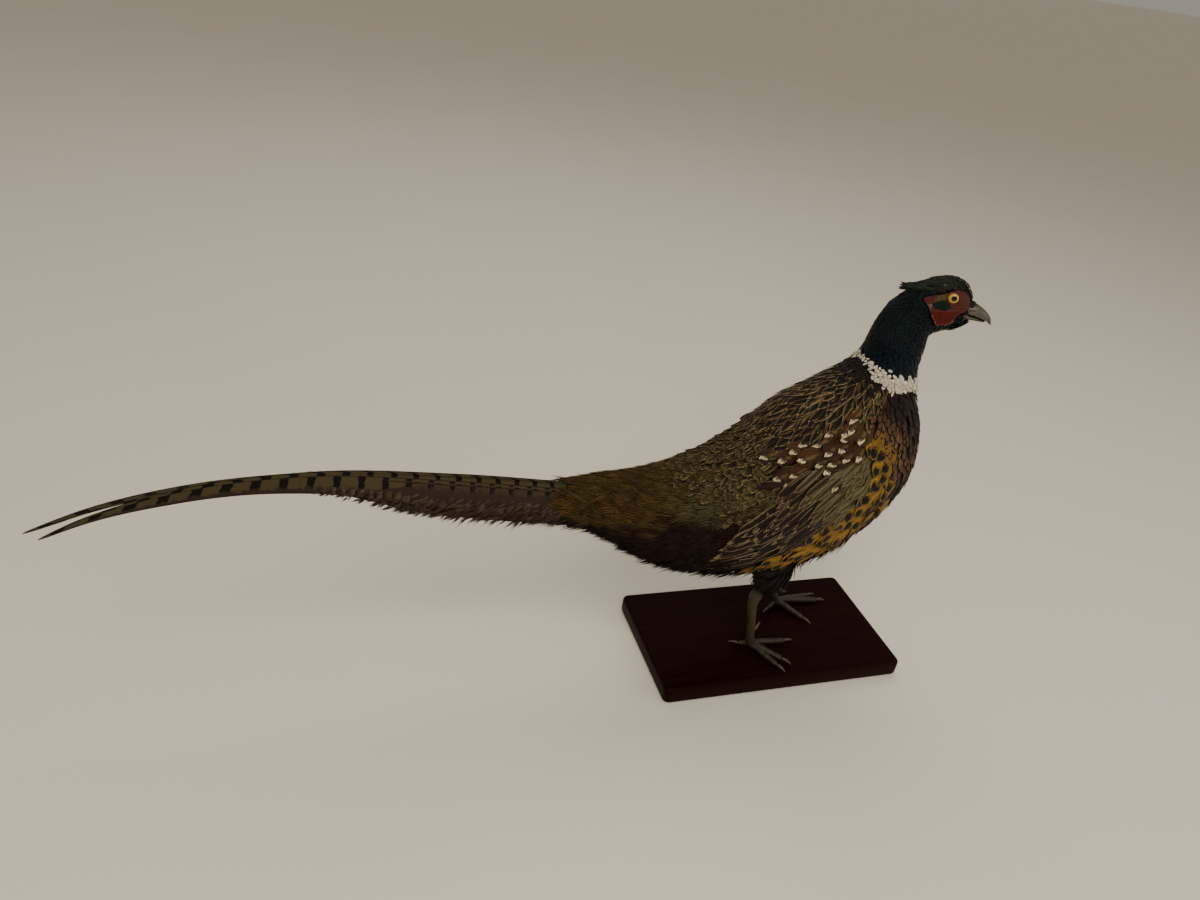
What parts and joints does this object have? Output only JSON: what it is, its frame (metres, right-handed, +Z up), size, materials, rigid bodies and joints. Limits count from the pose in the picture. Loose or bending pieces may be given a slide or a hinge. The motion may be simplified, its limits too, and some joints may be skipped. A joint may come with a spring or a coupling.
{
  "type": "taxidermy pheasant",
  "caption": "Life-size stuffed cock pheasant standing on a dark varnished oblong plinth, head turned to its right and long barred tail held out behind.",
  "frame": {"origin": "middle of the plinth's underside, on the surface it stands on", "axes": "+X the way the bird's body points, along the plinth's length; +Y the bird's left side; +Z up"},
  "size_m": [0.8074, 0.146, 0.427],
  "materials": {
    "plinth": "dark red-brown mahogany stain under gloss varnish, rounded edges",
    "trunk": "overlapping feathers, brown, gold and grey-green, black and cream markings",
    "neck": "glossy blue-black feathers above a white ring",
    "crown": "short glossy feathers, dark green-black",
    "ear_tuft": "pointed glossy feather tufts",
    "wing": "grey-olive covering feathers, dark maroon quills with tan edges, cream drop spots",
    "tail": "olive-tan vanes with black bars and violet-brown fringes",
    "thigh": "loose dark brown feathers",
    "horn": "grey-buff horn of the bill, spurs and claws",
    "red_skin": "bare red skin, finely pimpled, dull",
    "shank": "dry scaled skin, grey-olive",
    "eye": "orange glass eye with a black pupil, polished"
  },
  "bodies": {
    "root": {"plinth": "plinth", "trunk": "trunk", "neck": "neck", "head": "crown", "upper_bill": "horn", "lower_bill": "horn", "eye_right": "eye", "wattle_right": "red_skin", "ear_tuft_right": "ear_tuft", "wing_right": "wing", "wing_tip_right": "wing", "tail_middle_right": "tail", "tail_inner_right": "tail", "tail_outer_right": "tail", "thigh_right": "thigh", "tarsus_right": "shank", "spur_right": "horn", "toe_right_inner": "shank", "claw_right_inner": "horn", "toe_right_middle": "shank", "claw_right_middle": "horn", "toe_right_outer": "shank", "claw_right_outer": "horn", "toe_right_hind": "shank", "claw_right_hind": "horn", "eye_left": "eye", "wattle_left": "red_skin", "ear_tuft_left": "ear_tuft", "wing_left": "wing", "wing_tip_left": "wing", "tail_middle_left": "tail", "tail_inner_left": "tail", "tail_outer_left": "tail", "thigh_left": "thigh", "tarsus_left": "shank", "spur_left": "horn", "toe_left_inner": "shank", "claw_left_inner": "horn", "toe_left_middle": "shank", "claw_left_middle": "horn", "toe_left_outer": "shank", "claw_left_outer": "horn", "toe_left_hind": "shank", "claw_left_hind": "horn"}
  },
  "joints": []
}
